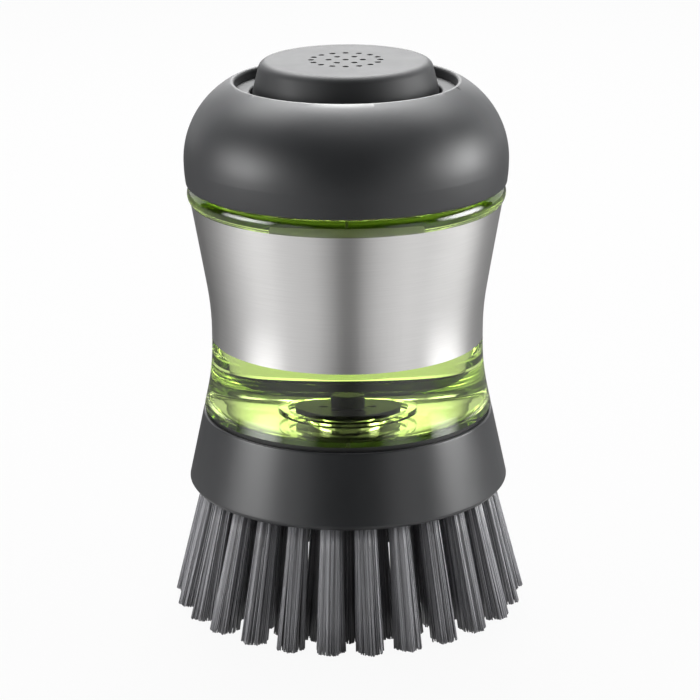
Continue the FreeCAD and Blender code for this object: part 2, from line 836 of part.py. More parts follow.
def make_brush_block():
    """The brush head's one moulding: a flared collar with lock grooves, and the drilled tuft plate below."""
    block = turned(
        (outlet_hole_radius, bristle_height),
        (flare_radius(collar_foot_z) - collar_rim_inset, bristle_height, collar_rim_rounding),
        (flare_radius(collar_foot_z), collar_foot_z, collar_foot_rounding),
        (flare_radius(collar_top_z), collar_top_z, collar_top_rounding),
        (collar_bore_radius, collar_top_z),
        (collar_bore_radius, plate_top_z),
        (outlet_hole_radius, plate_top_z),
    )
    groove_start = collar_bore_radius - overrun
    cutters = lock_grooves(
        groove_start, base_groove_radius, base_lug_z, base_lug_height, head_lead, head_turn
    )
    drill = rod(tuft_hole_radius, -overrun, tuft_hole_depth)
    cutters += [placed(drill, p) for ring in tuft_rings().values() for p in ring_places(*ring)]
    return block.cut(cutters)


def export(name, pieces):
    """Writes one node. A list of solids becomes a group."""
    shape = Part.makeCompound(pieces) if isinstance(pieces, list) else pieces
    solids = shape.Solids
    good = shape.isValid() and all(s.Volume > 0 for s in solids)
    print("%-16s solids %3d volume %10.2f valid %s" % (name, len(solids), shape.Volume, good))
    if len(solids) == 1:
        shape = solids[0]
    shape.exportStep("parts/%s.step" % name)


def main():
    os.makedirs("parts", exist_ok=True)
    nodes = {
        "soap_tank": make_soap_tank(),
        "steel_sleeve": make_steel_sleeve(),
        "valve_body": make_valve_body(),
        "slit_valve": make_slit_valve(),
        "valve_retainer": make_valve_retainer(),
        "cap_gasket": make_cap_gasket(),
        "cap_core": make_cap_core(),
        "grip_dome": make_grip_dome(),
        "button_bezel": make_button_bezel(),
        "push_button": make_push_button(),
        "plunger": make_plunger(),
        "piston_seal": make_piston_seal(),
        "pump_barrel": make_pump_barrel(),
        "barrel_o_ring": make_barrel_o_ring(),
        "check_valve": make_check_valve(),
        "return_spring": make_return_spring(),
        "head_seal": make_head_seal(),
        "brush_block": make_brush_block(),
        "tuft_anchors": make_tuft_anchors(),
    }
    for name, ring in tuft_rings().items():
        nodes[name] = make_tufts(*ring)
    for name, pieces in nodes.items():
        export(name, pieces)
    print("button stroke %.3f, top %.3f" % (button_stroke, button_top_z))
    print("cap travel %.3f over %.1f degrees" % (cap_travel, cap_turn))
    print("head travel %.3f over %.1f degrees" % (head_travel, head_turn))


main()
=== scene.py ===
# %% [markdown]
# # A palm dish brush with a soap tank
# The brush stands on its bristles: a clear tank of green soap with a steel band, a soft dark dome for
# the palm, a push button that pumps the soap out, and a brush head with three rings of tufts.
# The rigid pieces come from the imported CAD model, so this lesson gives them their finishes and adds
# what CAD leaves out: the soap, every single bristle and a wound spring.

import math

import bpy
import numpy as np
from mathutils import Matrix, Vector


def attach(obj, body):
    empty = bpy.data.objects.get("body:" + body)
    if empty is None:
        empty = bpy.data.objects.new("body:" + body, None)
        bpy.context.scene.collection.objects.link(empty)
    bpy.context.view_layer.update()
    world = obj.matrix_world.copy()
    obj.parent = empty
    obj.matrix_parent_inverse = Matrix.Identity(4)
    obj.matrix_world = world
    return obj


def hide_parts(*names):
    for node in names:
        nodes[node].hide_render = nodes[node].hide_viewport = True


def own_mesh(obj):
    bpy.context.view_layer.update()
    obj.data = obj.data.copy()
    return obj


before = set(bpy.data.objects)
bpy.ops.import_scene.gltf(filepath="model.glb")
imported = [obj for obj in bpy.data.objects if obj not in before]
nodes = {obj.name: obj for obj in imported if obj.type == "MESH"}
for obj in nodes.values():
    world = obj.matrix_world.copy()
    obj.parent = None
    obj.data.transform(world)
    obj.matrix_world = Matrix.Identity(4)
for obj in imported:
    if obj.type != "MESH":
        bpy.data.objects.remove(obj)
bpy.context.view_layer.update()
MM = 0.001

# %% [markdown]
# ## Thin triangles
# A surface is meshed in small triangles, and a needle-thin one among them can turn the shading of its
# neighbours, which shows as a dark speck. A face whose corners look away from it is shaded flat instead.
# The shape stays as it is.

# %% Calm the shading of thin triangles
least_agreement = math.cos(math.radians(35))
for name, node in nodes.items():
    corners = node.data.corner_normals
    turned = [
        face.index
        for face in node.data.polygons
        if min(face.normal.dot(corners[corner].vector) for corner in face.loop_indices) < least_agreement
    ]
    for index in turned:
        node.data.polygons[index].use_smooth = False
    if turned:
        print(name, "faces shaded flat:", len(turned))

# %% [markdown]
# ## The camera
# The photograph looks slightly down on the brush with a long lens, so its circles are flat ellipses
# and its sides stay nearly parallel. The focal length, distance and height were worked out from those
# ellipses. The picture is square, and the brush stands a little left of its middle and leans by a third
# of a degree, which a small shift and roll of the camera repeat.

# %% Place the camera
view_target = Vector((0, 0, 49.03 * MM))
view_distance = 509.7 * MM
view_elevation = math.radians(17.55)
view_roll = math.radians(-0.36)

camera = bpy.data.objects.new("camera", bpy.data.cameras.new("camera"))
bpy.context.scene.collection.objects.link(camera)
camera.data.lens = 136.4
camera.data.sensor_width = 36
camera.data.shift_x = 2.5 / 700
camera.data.clip_start = 10 * MM
camera.data.clip_end = 20
camera_side = Vector((0, -math.cos(view_elevation), math.sin(view_elevation)))
camera.location = view_target + camera_side * view_distance
aim = (-camera_side).to_track_quat("-Z", "Y").to_matrix()
camera.rotation_euler = (aim @ Matrix.Rotation(view_roll, 3, "Z")).to_euler()
bpy.context.scene.camera = camera
bpy.context.scene.view_settings.view_transform = "Standard"
print("camera at", [round(v, 3) for v in camera.location])

# %% [markdown]
# ## Nodes and colours
# Every finish below is a small tree of shader nodes. One helper adds a node, sets its options and links
# its inputs, and another turns a colour as a picture editor shows it (sRGB hex) into the linear values
# that the renderer works with.

# %% Helpers for materials


def to_linear(hex_colour):
    """An sRGB hex colour as linear red, green, blue and an alpha of one."""
    values = [int(hex_colour[i : i + 2], 16) / 255 for i in (1, 3, 5)]
    return [v / 12.92 if v <= 0.04045 else ((v + 0.055) / 1.055) ** 2.4 for v in values] + [1.0]


def add_node(tree, kind, inputs=None, **settings):
    """Adds a node. An input is either a value or the output socket to link to it."""
    made = tree.nodes.new(kind)
    for name, value in settings.items():
        setattr(made, name, value)
    for name, value in (inputs or {}).items():
        if isinstance(value, bpy.types.NodeSocket):
            tree.links.new(value, made.inputs[name])
        else:
            made.inputs[name].default_value = value
    return made


def new_material(name):
    """An empty material with its output node."""
    material = bpy.data.materials.new(name)
    material.use_nodes = True
    material.node_tree.nodes.clear()
    return material, material.node_tree, material.node_tree.nodes.new("ShaderNodeOutputMaterial")


def dress(material, *node_names):
    """Gives CAD nodes a finish."""
    for name in node_names:
        slots = nodes[name].data.materials
        slots.clear()
        slots.append(material)
    print(material.name, "on", ", ".join(node_names))


# %% [markdown]
# ## Moulded skins: the dome, the button, the brush block and the valve
# The dome is a thermoplastic rubber moulded over the hard cap, from a mould that was blasted to a fine
# grain: deep grey and satin, with a broad, soft highlight and no mirror. The button is ABS from a mould
# that was blasted coarser, so it is duller still. The brush block is ABS from a smoother, spark-eroded
# mould, and the studio's side lights draw clearer bands on it. The valve body is the same ABS under soap,
# and a wetted surface mirrors less, so it gets the step from soap to plastic as its IOR. All of them
# share one small tree of nodes with other numbers: a cloudy change of shade and gloss, as flow in the
# mould leaves it, and a fine bump for the grain. The real grain is a twentieth of a millimetre and would
# vanish in the picture, so it is drawn at a quarter.

# %% Moulded skins


def moulded_skin(name, dark, light, rough_low, rough_high, ior, cloud_mm, grain_strength):
    """A satin moulded plastic: soft clouds of shade and gloss under a fine grain."""
    grain_mm = 0.25
    material, tree, output = new_material(name)
    place = add_node(tree, "ShaderNodeTexCoord").outputs["Object"]
    grain = add_node(
        tree, "ShaderNodeTexNoise", {"Vector": place, "Scale": 1 / (grain_mm * MM), "Detail": 2.0}
    )
    cloud = add_node(
        tree,
        "ShaderNodeTexNoise",
        {"Vector": place, "Scale": 1 / (cloud_mm * MM), "Detail": 4.0, "Roughness": 0.6},
    )
    colour = add_node(
        tree,
        "ShaderNodeMix",
        {"Factor": cloud.outputs["Fac"], "A": to_linear(dark), "B": to_linear(light)},
        data_type="RGBA",
    )
    gloss = {"From Min": 0.3, "From Max": 0.7, "To Min": rough_low, "To Max": rough_high}
    rough = add_node(tree, "ShaderNodeMapRange", {"Value": cloud.outputs["Fac"], **gloss})
    bump = add_node(
        tree,
        "ShaderNodeBump",
        {"Height": grain.outputs["Fac"], "Strength": grain_strength, "Distance": 0.03 * MM},
    )
    skin = add_node(
        tree,
        "ShaderNodeBsdfPrincipled",
        {
            "Base Color": colour.outputs["Result"],
            "Roughness": rough.outputs["Result"],
            "IOR": ior,
            "Normal": bump.outputs["Normal"],
        },
    )
    tree.links.new(skin.outputs["BSDF"], output.inputs["Surface"])
    return material


air_ior, abs_ior, san_ior, soap_ior = 1.0, 1.54, 1.57, 1.36
wet_ior = abs_ior / soap_ior
rubber = moulded_skin("soft_touch_rubber_moulded", "#262729", "#2d2e30", 0.40, 0.46, 1.5, 14, 0.12)
grained_abs = moulded_skin("abs_blasted_mould", "#1c1d1f", "#222325", 0.56, 0.62, 1.5, 6, 0.1)
satin_abs = moulded_skin("abs_spark_eroded_mould", "#222325", "#28292b", 0.285, 0.33, abs_ior, 5, 0.07)
wet_abs = moulded_skin("abs_spark_eroded_mould_wetted", "#161718", "#1b1c1d", 0.29, 0.35, wet_ior, 5, 0.07)
dress(rubber, "grip_dome")
dress(grained_abs, "push_button", "button_bezel", "cap_core")
dress(satin_abs, "brush_block")
dress(wet_abs, "valve_body")

# %% [markdown]
# ## Brushed stainless steel for the band
# The band is rolled from thin sheet that was brushed along its length, so the scratches run round the
# brush. Such scratches smear every reflection upright, which gives the even, upright stripes of light and
# dark. The smear comes from the shader's anisotropy, turned to stand across the scratches, and the
# scratches themselves are faint noise that is long round the band and thin in height. A real one is a
# few hundredths of a millimetre, and it is drawn at a fifth of a millimetre to show.

# %% Brushed stainless steel
scratch_mm, scratch_length_mm = 0.2, 9
stretch = [1 / (size * MM) for size in (scratch_length_mm, scratch_length_mm, scratch_mm)]
material, tree, output = new_material("stainless_steel_brushed_sheet")
place = add_node(tree, "ShaderNodeTexCoord")
squeeze = add_node(tree, "ShaderNodeMapping", {"Vector": place.outputs["Object"], "Scale": stretch})
scratch = add_node(
    tree, "ShaderNodeTexNoise", {"Vector": squeeze.outputs["Vector"], "Scale": 1.0, "Detail": 2.0}
)
rough = add_node(
    tree,
    "ShaderNodeMapRange",
    {"Value": scratch.outputs["Fac"], "From Min": 0.3, "From Max": 0.7, "To Min": 0.29, "To Max": 0.31},
)
colour = add_node(
    tree,
    "ShaderNodeMix",
    {"Factor": scratch.outputs["Fac"], "A": to_linear("#c6c5c4"), "B": to_linear("#d2d1d0")},
    data_type="RGBA",
)
around = add_node(tree, "ShaderNodeTangent", direction_type="RADIAL", axis="Z")
bump = add_node(
    tree, "ShaderNodeBump", {"Height": scratch.outputs["Fac"], "Strength": 0.015, "Distance": 0.01 * MM}
)
skin = add_node(
    tree,
    "ShaderNodeBsdfPrincipled",
    {
        "Base Color": colour.outputs["Result"],
        "Metallic": 1.0,
        "Roughness": rough.outputs["Result"],
        "Anisotropic": 0.8,
        "Anisotropic Rotation": 0.25,
        "Tangent": around.outputs["Tangent"],
        "Normal": bump.outputs["Normal"],
    },
)
tree.links.new(skin.outputs["BSDF"], output.inputs["Surface"])
dress(material, "steel_sleeve")

# %% [markdown]
# ## Clear moulded SAN for the tank
# The tank is a thick, clear, polished styrene plastic with a trace of green. It bends light strongly, so
# its rounded edges and the ring on its floor show as bright and dark lines. Where soap wets the inside,
# light goes straight from plastic to soap and bends far less, so those faces get a second finish with
# the step between these two. A trace of flow marks from the mould keeps the tank from looking like
# perfect glass. Light crosses many clear walls here, so the renderer may follow it for more bounces than
# usual, or the tank's edges would turn black.

# %% Clear tank plastic
tank_bore, tank_floor, floor_rounding = 22.6, 36.8, 3.0
fill_height = 83.8
wall_slack = 0.1
light_bounces = 24


def clear_skin(name, colour, ior, flow_mm, flow_strength):
    """A clear surface that bends light, with faint flow marks."""
    material, tree, output = new_material(name)
    place = add_node(tree, "ShaderNodeTexCoord")
    flow = add_node(
        tree,
        "ShaderNodeTexNoise",
        {"Vector": place.outputs["Object"], "Scale": 1 / (flow_mm * MM), "Detail": 1.0},
    )
    bump = add_node(
        tree,
        "ShaderNodeBump",
        {"Height": flow.outputs["Fac"], "Strength": flow_strength, "Distance": 0.05 * MM},
    )
    skin = add_node(
        tree,
        "ShaderNodeBsdfPrincipled",
        {
            "Base Color": to_linear(colour),
            "Roughness": 0.0,
            "IOR": ior,
            "Transmission Weight": 1.0,
            "Normal": bump.outputs["Normal"],
        },
    )
    tree.links.new(skin.outputs["BSDF"], output.inputs["Surface"])
    return material


pale_green = "#f1f5e1"
clear_san = clear_skin("san_clear_polished", pale_green, san_ior / air_ior, 8, 0.1)
wet_san = clear_skin("san_clear_polished_wetted", pale_green, san_ior / soap_ior, 8, 0.1)
dress(clear_san, "soap_tank")
tank = nodes["soap_tank"]
tank.data.materials.append(wet_san)
wetted = 0
for face in tank.data.polygons:
    middle = tank.matrix_world @ face.center / MM
    if middle.xy.length < tank_bore + wall_slack and tank_floor - wall_slack < middle.z < fill_height:
        face.material_index = 1
        wetted += 1
for kind in ("max_bounces", "glossy_bounces", "transmission_bounces", "transparent_max_bounces"):
    setattr(bpy.context.scene.cycles, kind, light_bounces)
print("faces of the tank that the soap wets:", wetted)

# %% [markdown]
# ## Rubber, silicone, acetal and wire for the inner pieces
# The seal under the tank is black rubber, which shows as a dark line. The valves and the small seals are
# natural silicone, the pump is white acetal, and the spring and the staples are drawn wire. Most of them
# only show when the brush is opened, but each still gets the finish of its real material.

# %% Inner finishes


def inner_finish(name, dark, light, roughness, ior, patch_mm, metallic=0.0):
    """A plain moulded or drawn finish: two close shades in soft patches."""
    material, tree, output = new_material(name)
    place = add_node(tree, "ShaderNodeTexCoord")
    patch = add_node(
        tree,
        "ShaderNodeTexNoise",
        {"Vector": place.outputs["Object"], "Scale": 1 / (patch_mm * MM), "Detail": 3.0},
    )
    colour = add_node(
        tree,
        "ShaderNodeMix",
        {"Factor": patch.outputs["Fac"], "A": to_linear(dark), "B": to_linear(light)},
        data_type="RGBA",
    )
    rough = add_node(
        tree,
        "ShaderNodeMapRange",
        {"Value": patch.outputs["Fac"], "To Min": roughness * 0.9, "To Max": roughness * 1.1},
    )
    skin = add_node(
        tree,
        "ShaderNodeBsdfPrincipled",
        {
            "Base Color": colour.outputs["Result"],
            "Roughness": rough.outputs["Result"],
            "IOR": ior,
            "Metallic": metallic,
        },
    )
    tree.links.new(skin.outputs["BSDF"], output.inputs["Surface"])
    return material


black_rubber = inner_finish("nitrile_rubber_moulded", "#0d0e0e", "#141515", 0.5, 1.52, 2.0)
silicone = inner_finish("silicone_moulded", "#c9cac4", "#d6d7d1", 0.45, 1.41, 3.0)
acetal = inner_finish("acetal_moulded", "#dfdfda", "#e8e8e4", 0.35, 1.48, 4.0)
drawn_wire = inner_finish("spring_steel_drawn", "#9a9a98", "#b4b4b2", 0.28, 1.5, 0.8, metallic=1.0)
dress(black_rubber, "head_seal", "cap_gasket", "barrel_o_ring", "piston_seal")
dress(silicone, "slit_valve", "check_valve")
dress(acetal, "pump_barrel", "plunger", "valve_retainer")
dress(drawn_wire, "tuft_anchors")

# %% [markdown]
# ## The soap
# The soap is a liquid, so CAD has no solid for it. It is a turned form whose outline follows the tank's
# inside, up to a surface near the top that the pump's barrel dips into. It reaches a few hundredths of a
# millimetre into the plastic, and where it touches the wall its own skin is plainly transparent, because
# the tank's wetted faces bend the light already. Only its free top bends light itself. Its green comes
# from what the liquid absorbs, so thin places are pale and deep ones dark.

# %% Turned meshes


def turned_mesh(name, outline_mm, segments, crease_degrees=30):
    """A closed mesh from an outline of (radius, height) that starts and ends on the axis."""
    points = [(0, 0, outline_mm[0][1]), (0, 0, outline_mm[-1][1])]
    rings = outline_mm[1:-1]
    for radius, height in rings:
        for k in range(segments):
            turn = 2 * math.pi * k / segments
            points.append((radius * math.cos(turn), radius * math.sin(turn), height))
    faces = []
    last = 2 + (len(rings) - 1) * segments
    for k in range(segments):
        after = (k + 1) % segments
        faces.append((0, 2 + after, 2 + k))
        faces.append((1, last + k, last + after))
        for ring in range(len(rings) - 1):
            here = 2 + ring * segments
            above = here + segments
            faces.append((here + after, above + after, above + k, here + k))
    mesh = bpy.data.meshes.new(name)
    mesh.from_pydata([[v * MM for v in p] for p in points], [], faces)
    mesh.shade_smooth()
    mesh.set_sharp_from_angle(angle=math.radians(crease_degrees))
    made = bpy.data.objects.new(name, mesh)
    bpy.context.scene.collection.objects.link(made)
    return made


# %% Fill the tank
into_wall = 0.03
boss_top = 41.7
bore = tank_bore + into_wall
floor = tank_floor - into_wall
corner = floor_rounding + into_wall
corner_steps = 12
soap_outline = [(0, boss_top + 0.02), (1.9, boss_top + 0.02)]
soap_outline += [(2.25, boss_top - 0.13), (2.37, boss_top - 0.5), (2.37, 38.82), (7.37, 38.82)]
soap_outline += [(7.37, floor), (8.53, floor), (8.53, 38.17), (9.77, 38.17), (9.77, floor)]
for step in range(corner_steps + 1):
    turn = math.pi / 2 * step / corner_steps
    across = tank_bore - floor_rounding + corner * math.sin(turn)
    soap_outline.append((across, tank_floor + floor_rounding - corner * math.cos(turn)))
soap_outline += [(bore, fill_height), (bore - 0.25, fill_height - 0.35), (bore - 1.0, fill_height - 0.6)]
soap_outline += [(11.2, fill_height - 0.6), (10.47, fill_height - 0.3), (10.47, 76.33), (5.97, 76.33)]
soap_outline += [(5.97, 75.65), (1.5, 75.03), (0, 75.03)]
soap = turned_mesh("green_soap", soap_outline, 192)

# %% Colour the soap
free_soap = clear_skin("dish_soap_free_surface", "#ffffff", soap_ior / air_ior, 12, 0.05)
soap_green = {"Color": (0.75, 0.89, 0.29, 1.0), "Density": 40.0}
touching_soap, tree, output = new_material("dish_soap_against_wall")
through = add_node(tree, "ShaderNodeBsdfTransparent", {"Color": (1, 1, 1, 1)})
tree.links.new(through.outputs["BSDF"], output.inputs["Surface"])
for material in (touching_soap, free_soap):
    tree = material.node_tree
    tint = add_node(tree, "ShaderNodeVolumeAbsorption", soap_green)
    tree.links.new(tint.outputs["Volume"], tree.nodes["Material Output"].inputs["Volume"])
    soap.data.materials.append(material)
for face in soap.data.polygons:
    face.material_index = int(face.center.z > (fill_height - 1) * MM and face.normal.z > 0.5)
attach(soap, "tank")
print("soap outline points:", len(soap_outline))

# %% [markdown]
# ## The bristles
# Each tuft is a bundle of nylon filaments, folded in half and stapled into its hole, so the filaments fan
# out towards their tips, which are trimmed flat. Filaments cling together in strands, and CAD has one
# ribbed cone for a tuft, with a rib for each strand. Here every filament is a thin tube of its own: it
# starts in the hole, on the ribbed rim or on a spiral within it, and follows the cone to the floor. It
# bends a little with its tuft, with its strand and by itself. Real filaments of a quarter of a millimetre
# are drawn a little thicker and fewer, so that they still show as lines.

# %% Nylon for the bristles
material, tree, output = new_material("nylon_filament_extruded")
island = add_node(tree, "ShaderNodeNewGeometry")
shade = add_node(tree, "ShaderNodeValToRGB", {"Fac": island.outputs["Random Per Island"]})
shade.color_ramp.elements[0].color = to_linear("#535356")
shade.color_ramp.elements[1].color = to_linear("#a0a0a4")
skin = add_node(
    tree,
    "ShaderNodeBsdfPrincipled",
    {"Base Color": shade.outputs["Color"], "Roughness": 0.32, "IOR": 1.53},
)
tree.links.new(skin.outputs["BSDF"], output.inputs["Surface"])
nylon = material

# %% Grow the tufts
plate_underside = 23.7
root_radius = 2.05
tip_radius = 2.75
filament_radius = 0.145
filaments_outside, filaments_inside = 76, 70
filaments_per_tuft = filaments_outside + filaments_inside
filament_sides = 5
filament_stations = 5
rib_count, rib_depth_share = 8, 0.18
golden_angle = math.pi * (3 - math.sqrt(5))


def make_tufts(name, count, ring_radius, tilt_degrees, phase_degrees, seed):
    """One ring of tufts as a single mesh of many thin tubes."""
    rng = np.random.default_rng(seed)
    tilt = math.radians(tilt_degrees)
    shape = (count, filaments_per_tuft)
    inner = np.arange(filaments_inside)
    around_rim = 2 * np.pi * np.arange(filaments_outside) / filaments_outside
    angle = np.concatenate([around_rim, inner * golden_angle])
    fill = np.concatenate([np.ones(filaments_outside), 0.9 * np.sqrt((inner + 0.5) / filaments_inside)])
    angle = angle + rng.normal(0, 0.03, shape)
    strand = np.round(angle / (2 * np.pi / rib_count)).astype(int)
    valley = np.abs(angle * rib_count / np.pi - 2 * strand)
    reach = (root_radius - filament_radius) * fill * (1 - rib_depth_share * valley)
    root_x, root_y = reach * np.cos(angle), reach * np.sin(angle)
    strand_bend = rng.normal(0, 0.14, (count, rib_count, 2))
    tuft_lean = rng.normal(0, 0.15, (count, 1, 2))
    bend = np.take_along_axis(strand_bend, (strand % rib_count)[..., None], axis=1) + tuft_lean
    bend = bend + rng.normal(0, 0.07, shape + (2,))
    fan = (tip_radius / root_radius - 1) * math.cos(tilt) / plate_underside
    cut = rng.uniform(0.0, 0.2, shape)
    drop_rate = math.cos(tilt) - root_x * fan * math.sin(tilt)
    depth = (plate_underside + root_x * math.sin(tilt) - cut) / drop_rate

    down = -1 + (depth[..., None] + 1) * np.linspace(0, 1, filament_stations)
    lean = np.clip(down / depth[..., None], 0, 1) ** 1.6
    side = 2 * np.pi * np.arange(filament_sides) / filament_sides
    middle_x = root_x[..., None] * (1 + fan * down) + bend[..., :1] * lean
    middle_y = root_y[..., None] * (1 + fan * down) + bend[..., 1:] * lean
    x = middle_x[..., None] + filament_radius * np.cos(side)
    y = middle_y[..., None] + filament_radius * np.sin(side)
    down = down[..., None]
    out = ring_radius + x * math.cos(tilt) + down * math.sin(tilt)
    z = np.maximum(plate_underside + x * math.sin(tilt) - down * math.cos(tilt), 0.01)
    turn = np.radians(phase_degrees + 360 * np.arange(count) / count)[:, None, None, None]
    world_x = out * np.cos(turn) - y * np.sin(turn)
    world_y = out * np.sin(turn) + y * np.cos(turn)
    points = np.stack([world_x, world_y, z], axis=-1)

    k = np.arange(filament_sides)
    after = (k + 1) % filament_sides
    here = np.arange(filament_stations - 1)[:, None] * filament_sides
    below = here + filament_sides
    wall = np.stack([here + k, below + k, below + after, here + after], axis=-1).reshape(-1, 4)
    starts = np.arange(count * filaments_per_tuft)[:, None, None] * filament_stations * filament_sides
    faces = (starts + wall).reshape(-1, 4).tolist()
    faces += (starts[:, 0] + k).tolist()
    faces += (starts[:, 0] + (filament_stations - 1) * filament_sides + k[::-1]).tolist()
    mesh = bpy.data.meshes.new(name)
    mesh.from_pydata(points.reshape(-1, 3) * MM, [], faces)
    mesh.shade_smooth()
    mesh.materials.append(nylon)
    made = bpy.data.objects.new(name, mesh)
    bpy.context.scene.collection.objects.link(made)
    print(name, count, "tufts,", count * filaments_per_tuft, "filaments,", len(faces), "faces")
    return made


rings = {
    "outer_tufts": (26, 25.94, 13.3, 0.0, 11),
    "middle_tufts": (26, 21.04, 10.0, 180 / 26, 12),
    "inner_tufts": (14, 15.04, 6.5, 0.0, 13),
}
for node_name, ring in rings.items():
    filaments = make_tufts("filaments_" + node_name, *ring)
    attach(filaments, "brush_head")
    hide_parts(node_name)

# %% [markdown]
# ## The return spring
# A compression spring under the button pushes it back up. It is one wire wound in a helix, and it is made
# as a mesh tube with a mesh of its own, which moves with the cap.

# %% Wind the spring
spring_radius, wire_radius, spring_turns = 12.2, 0.55, 4.5
spring_low, spring_high = 91.15, 102.8
steps_per_turn, wire_sides = 48, 12
steps = int(spring_turns * steps_per_turn)
climb = (spring_high - spring_low) / steps
slope = math.atan2(climb * steps_per_turn, 2 * math.pi * spring_radius)
points, faces = [], []
for step in range(steps + 1):
    turn = 2 * math.pi * step / steps_per_turn
    outward = Vector((math.cos(turn), math.sin(turn), 0))
    sideways = Vector((-math.sin(turn), math.cos(turn), 0))
    along = sideways * math.cos(slope) + Vector((0, 0, math.sin(slope)))
    across = along.cross(outward)
    middle = outward * spring_radius + Vector((0, 0, spring_low + climb * step))
    for side in range(wire_sides):
        swing = 2 * math.pi * side / wire_sides
        points.append((middle + (outward * math.cos(swing) + across * math.sin(swing)) * wire_radius) * MM)
for step in range(steps):
    for side in range(wire_sides):
        here, after = step * wire_sides + side, step * wire_sides + (side + 1) % wire_sides
        faces.append((here, here + wire_sides, after + wire_sides, after))
faces.append(tuple(range(wire_sides)))
faces.append(tuple(steps * wire_sides + side for side in reversed(range(wire_sides))))
mesh = bpy.data.meshes.new("wound_spring")
mesh.from_pydata(points, [], faces)
mesh.shade_smooth()
mesh.materials.append(drawn_wire)
spring = bpy.data.objects.new("wound_spring", mesh)
bpy.context.scene.collection.objects.link(spring)
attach(spring, "cap")
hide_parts("return_spring")
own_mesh(spring)
print("spring faces:", len(faces))

# %% [markdown]
# ## Floor and light
# The photograph is a product shot on white. The floor is grey paper and the world gives little light, so
# the brush keeps its contrast and its shadow, but both are white where the camera, a reflection or a
# view through the clear tank meets them.

# %% Floor


def flat_card(name, corners):
    """A flat four-cornered card."""
    mesh = bpy.data.meshes.new(name)
    mesh.from_pydata(corners, [], [(0, 1, 2, 3)])
    card = bpy.data.objects.new(name, mesh)
    bpy.context.scene.collection.objects.link(card)
    return card


def combine(tree, operation, first, second):
    """One step of arithmetic on two values or sockets."""
    return add_node(tree, "ShaderNodeMath", {0: first, 1: second}, operation=operation).outputs[0]


def ray_that_looks(tree):
    """One for a ray from the camera, a reflection or a clear body, and zero for one that only lights."""
    path = add_node(tree, "ShaderNodeLightPath").outputs
    looks = combine(tree, "MAXIMUM", path["Is Camera Ray"], path["Is Glossy Ray"])
    return combine(tree, "MAXIMUM", looks, path["Is Transmission Ray"])


square = ((-1, -1), (1, -1), (1, 1), (-1, 1))
floor_size = 1.6
floor_z = -0.1 * MM
white_share = 0.94
floor_card = flat_card("studio_floor", [(x * floor_size, y * floor_size, floor_z) for x, y in square])
material, tree, output = new_material("white_floor_paper")
share = combine(tree, "MULTIPLY", ray_that_looks(tree), white_share)
paper = add_node(tree, "ShaderNodeBsdfDiffuse", {"Color": to_linear("#8c8c8c")})
white = add_node(tree, "ShaderNodeEmission", {"Color": (1, 1, 1, 1), "Strength": 1.0})
mixed = add_node(
    tree, "ShaderNodeMixShader", {0: share, 1: paper.outputs["BSDF"], 2: white.outputs["Emission"]}
)
tree.links.new(mixed.outputs["Shader"], output.inputs["Surface"])
floor_card.data.materials.append(material)
print("floor", 2 * floor_size, "m wide")

# %% World
world = bpy.data.worlds.new("white_studio")
bpy.context.scene.world = world
world.use_nodes = True
tree = world.node_tree
tree.nodes.clear()
fill = add_node(tree, "ShaderNodeBackground", {"Color": (1, 1, 1, 1), "Strength": 0.11})
white = add_node(tree, "ShaderNodeBackground", {"Color": (1, 1, 1, 1), "Strength": 1.0})
mixed = add_node(
    tree,
    "ShaderNodeMixShader",
    {0: ray_that_looks(tree), 1: fill.outputs["Background"], 2: white.outputs["Background"]},
)
output = tree.nodes.new("ShaderNodeOutputWorld")
tree.links.new(mixed.outputs["Shader"], output.inputs["Surface"])
print("world:", world.name)

# %% [markdown]
# ## Soft boxes
# Two wide soft boxes at the sides draw the bands on the dome and the collar, and two weak ones lift the
# front. A strong panel above and behind, with a wing on each side, makes the top of the button and the
# dome's lip pale, and a weak one low at the back shines through the soap. Each is a cloth that glows
# most in its middle and fades out at its rim, so its reflection has no hard edge.

# %% Soft boxes
brush_middle = Vector((0, 0, 60 * MM))


def towards(azimuth, elevation, distance):
    """A place seen from the brush. Azimuth counts from the camera's side towards the right."""
    a, e = math.radians(azimuth), math.radians(elevation)
    level = Vector((math.sin(a), -math.cos(a), 0))
    return brush_middle + distance * (level * math.cos(e) + Vector((0, 0, math.sin(e))))


def soft_box(name, azimuth, elevation, distance, width, height, radiance):
    """A glowing cloth that faces the brush, brightest in its middle and faded out at its rim."""
    card = flat_card(name, [(x * width / 2, y * height / 2, 0) for x, y in square])
    card.location = towards(azimuth, elevation, distance)
    card.rotation_euler = (card.location - brush_middle).to_track_quat("-Z", "Y").to_euler()
    card.visible_camera = False
    material, tree, output = new_material(name + "_cloth")
    place = add_node(tree, "ShaderNodeTexCoord")
    across = add_node(tree, "ShaderNodeSeparateXYZ", {"Vector": place.outputs["Generated"]})
    glow = radiance
    for axis in ("X", "Y"):
        rise = combine(tree, "MULTIPLY", 4.0, across.outputs[axis])
        fall = combine(tree, "SUBTRACT", 1.0, across.outputs[axis])
        glow = combine(tree, "MULTIPLY", combine(tree, "MULTIPLY", rise, fall), glow)
    cloth = add_node(tree, "ShaderNodeEmission", {"Color": (1, 1, 1, 1), "Strength": glow})
    tree.links.new(cloth.outputs["Emission"], output.inputs["Surface"])
    card.data.materials.append(material)
    print(name, "radiance", radiance)


